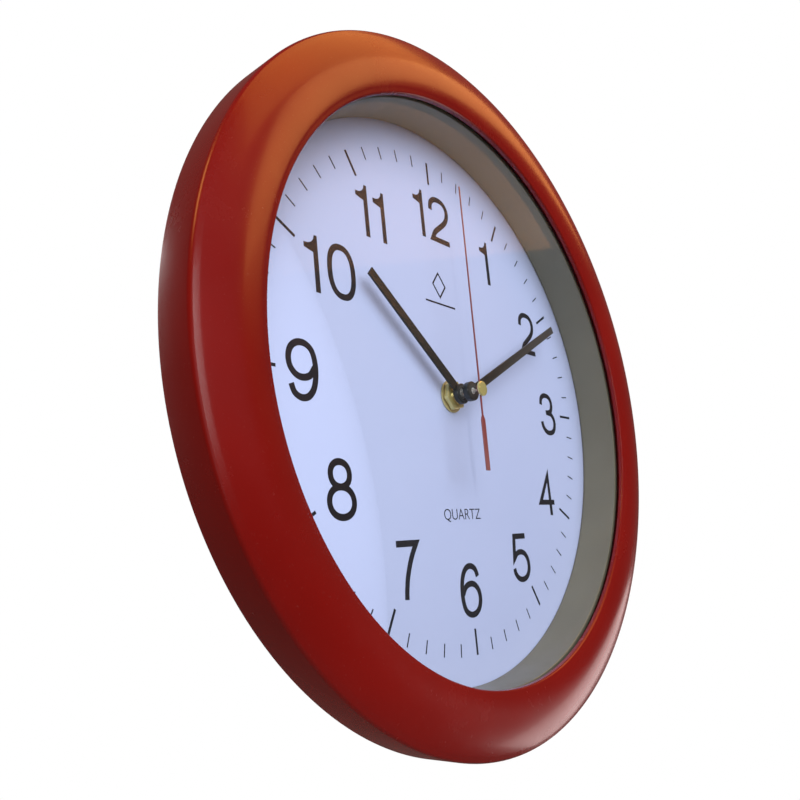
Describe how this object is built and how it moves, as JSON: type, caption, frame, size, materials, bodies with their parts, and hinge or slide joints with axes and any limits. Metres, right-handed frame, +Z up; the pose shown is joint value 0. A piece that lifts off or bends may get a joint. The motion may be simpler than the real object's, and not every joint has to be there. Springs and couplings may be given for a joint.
{
  "type": "wall clock",
  "caption": "Round analogue wall clock with a deep glossy bezel, flat glass, printed dial, three hands and a quartz movement behind it.",
  "frame": {"origin": "the point on the wall plane where the hanging screw's shank carries the keyhole plate", "axes": "-Y out of the wall towards the viewer (the dial faces -Y), +Y into the wall, +X to the viewer's right, +Z up the dial"},
  "size_m": [0.3, 0.0467, 0.3],
  "materials": {
    "red_gloss": "high-gloss moulded red",
    "clear_glass": "clear, polished",
    "grey_plastic": "satin olive grey",
    "dial_white": "matt printed white",
    "back_white": "fine moulded grain",
    "steel": "plated",
    "movement_black": "fine spark-eroded grain",
    "brass": "turned",
    "rubber": "matt",
    "hand_black": "satin black lacquer over aluminium",
    "second_red": "satin red lacquer over aluminium",
    "gear_plastic": "natural moulded",
    "magnet": "sintered",
    "copper": "enamelled copper wire",
    "bobbin_green": "moulded",
    "board": "lacquered laminate",
    "chip_black": "matt",
    "battery_wrap": "printed sleeve over steel can"
  },
  "bodies": {
    "case": {"front_case": "red_gloss", "glass_lens": "clear_glass", "spacer_ring": "grey_plastic", "dial": "dial_white", "back_case": "back_white", "hanger_plate": "steel", "movement_front_cover": "movement_black", "movement_rear_case": "movement_black", "threaded_bushing": "brass", "rubber_washer": "rubber", "brass_washer": "brass", "hex_nut": "brass", "gear_bridge": "movement_black", "stator": "steel", "coil_core": "steel", "coil_bobbin": "bobbin_green", "coil_winding": "copper", "circuit_board": "board", "control_chip": "chip_black", "quartz_crystal": "steel", "positive_contact": "steel", "negative_spring": "steel", "case_screw_1": "steel", "case_screw_2": "steel", "case_screw_3": "steel", "case_screw_4": "steel", "case_screw_5": "steel", "case_screw_6": "steel", "hanger_screw_1": "steel", "hanger_screw_2": "steel"},
    "seconds_train": {"seconds_wheel": "gear_plastic", "second_hand": "second_red", "second_hand_cap": "brass"},
    "rotor": {"rotor": "magnet"},
    "intermediate": {"intermediate_wheel": "gear_plastic"},
    "third": {"third_wheel": "gear_plastic"},
    "centre": {"centre_wheel": "gear_plastic"},
    "minute": {"minute_arbor": "gear_plastic", "clutch_spring": "brass", "minute_hand": "hand_black"},
    "minute_work": {"minute_work_wheel": "gear_plastic", "setting_knob": "gear_plastic"},
    "hour": {"hour_wheel": "gear_plastic", "hour_hand": "hand_black"},
    "battery": {"battery": "battery_wrap"}
  },
  "joints": [
    {"name": "seconds_turn", "type": "hinge", "parent": "case", "child": "seconds_train", "pos_m": [0, -0.01, -0.085], "axis": [0, 1, 0], "continuous": true},
    {"name": "rotor_turn", "type": "hinge", "parent": "case", "child": "rotor", "pos_m": [-0.00536, -0.01, -0.07136], "axis": [0, 1, 0], "continuous": true},
    {"name": "intermediate_turn", "type": "hinge", "parent": "case", "child": "intermediate", "pos_m": [0.00088, -0.01, -0.07496], "axis": [0, 1, 0], "continuous": true},
    {"name": "third_turn", "type": "hinge", "parent": "case", "child": "third", "pos_m": [0.00914, -0.01, -0.08074], "axis": [0, 1, 0], "continuous": true},
    {"name": "centre_turn", "type": "hinge", "parent": "case", "child": "centre", "pos_m": [0, -0.01, -0.085], "axis": [0, 1, 0], "continuous": true},
    {"name": "minute_turn", "type": "hinge", "parent": "case", "child": "minute", "pos_m": [0, -0.01, -0.085], "axis": [0, 1, 0], "continuous": true},
    {"name": "setting_knob_turn", "type": "hinge", "parent": "case", "child": "minute_work", "pos_m": [-0.00873, -0.01, -0.07996], "axis": [0, 1, 0], "continuous": true},
    {"name": "hour_turn", "type": "hinge", "parent": "case", "child": "hour", "pos_m": [0, -0.01, -0.085], "axis": [0, 1, 0], "continuous": true},
    {"name": "battery_slide", "type": "slide", "parent": "case", "child": "battery", "axis": [0, 1, 0], "range_m": [0, 0.02]}
  ],
  "couplings": [
    {"joint": "rotor_turn", "follows": "seconds_turn", "ratio": 30},
    {"joint": "intermediate_turn", "follows": "seconds_turn", "ratio": -6},
    {"joint": "third_turn", "follows": "seconds_turn", "ratio": -0.13333},
    {"joint": "centre_turn", "follows": "seconds_turn", "ratio": 0.016667},
    {"joint": "setting_knob_turn", "follows": "minute_turn", "ratio": -0.33333},
    {"joint": "hour_turn", "follows": "minute_turn", "ratio": 0.083333}
  ]
}
